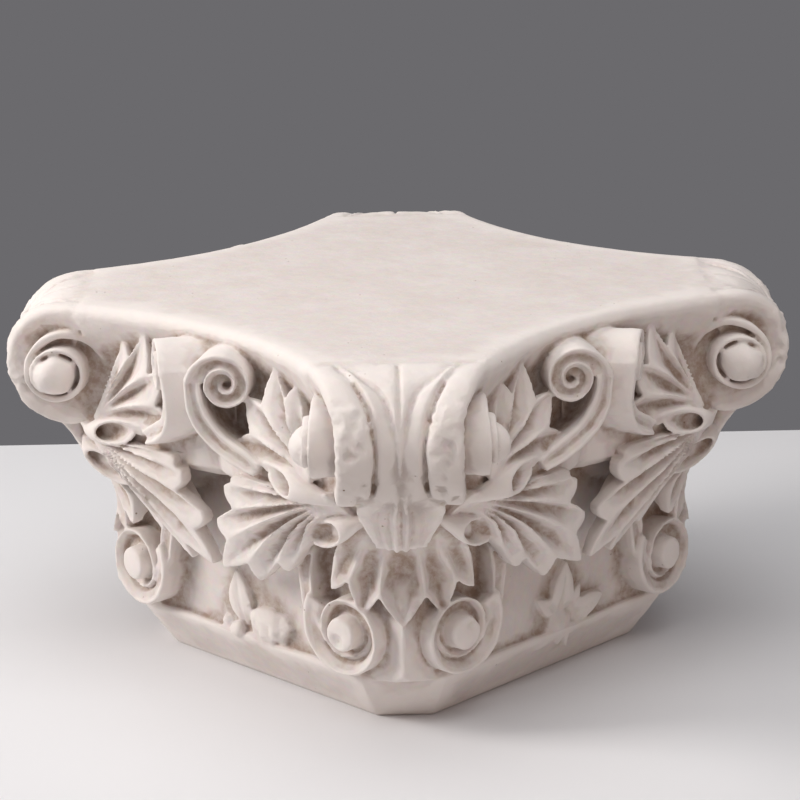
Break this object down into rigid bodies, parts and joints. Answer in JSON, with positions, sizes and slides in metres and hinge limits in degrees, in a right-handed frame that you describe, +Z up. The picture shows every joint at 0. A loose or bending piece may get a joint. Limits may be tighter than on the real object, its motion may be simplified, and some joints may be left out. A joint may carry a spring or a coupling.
{
  "type": "corinthian capital",
  "caption": "Low square capital cast in plaster: chamfered plinth, bell with spreading acanthus leaves, paired scrolls on each side and hollow-sided abacus rolling over into corner volutes.",
  "frame": {"origin": "centre of the flat underside of the plinth", "axes": "+Z up; X and Y square to the four decorated sides, so the corner volutes lie on the diagonals between X and Y"},
  "size_m": [0.6116, 0.6116, 0.36],
  "materials": {
    "plaster": "matte cast plaster, off-white with a warm grey-beige patina, dust in the hollows and worn edges"
  },
  "bodies": {
    "root": {"capital": "plaster"}
  },
  "joints": []
}
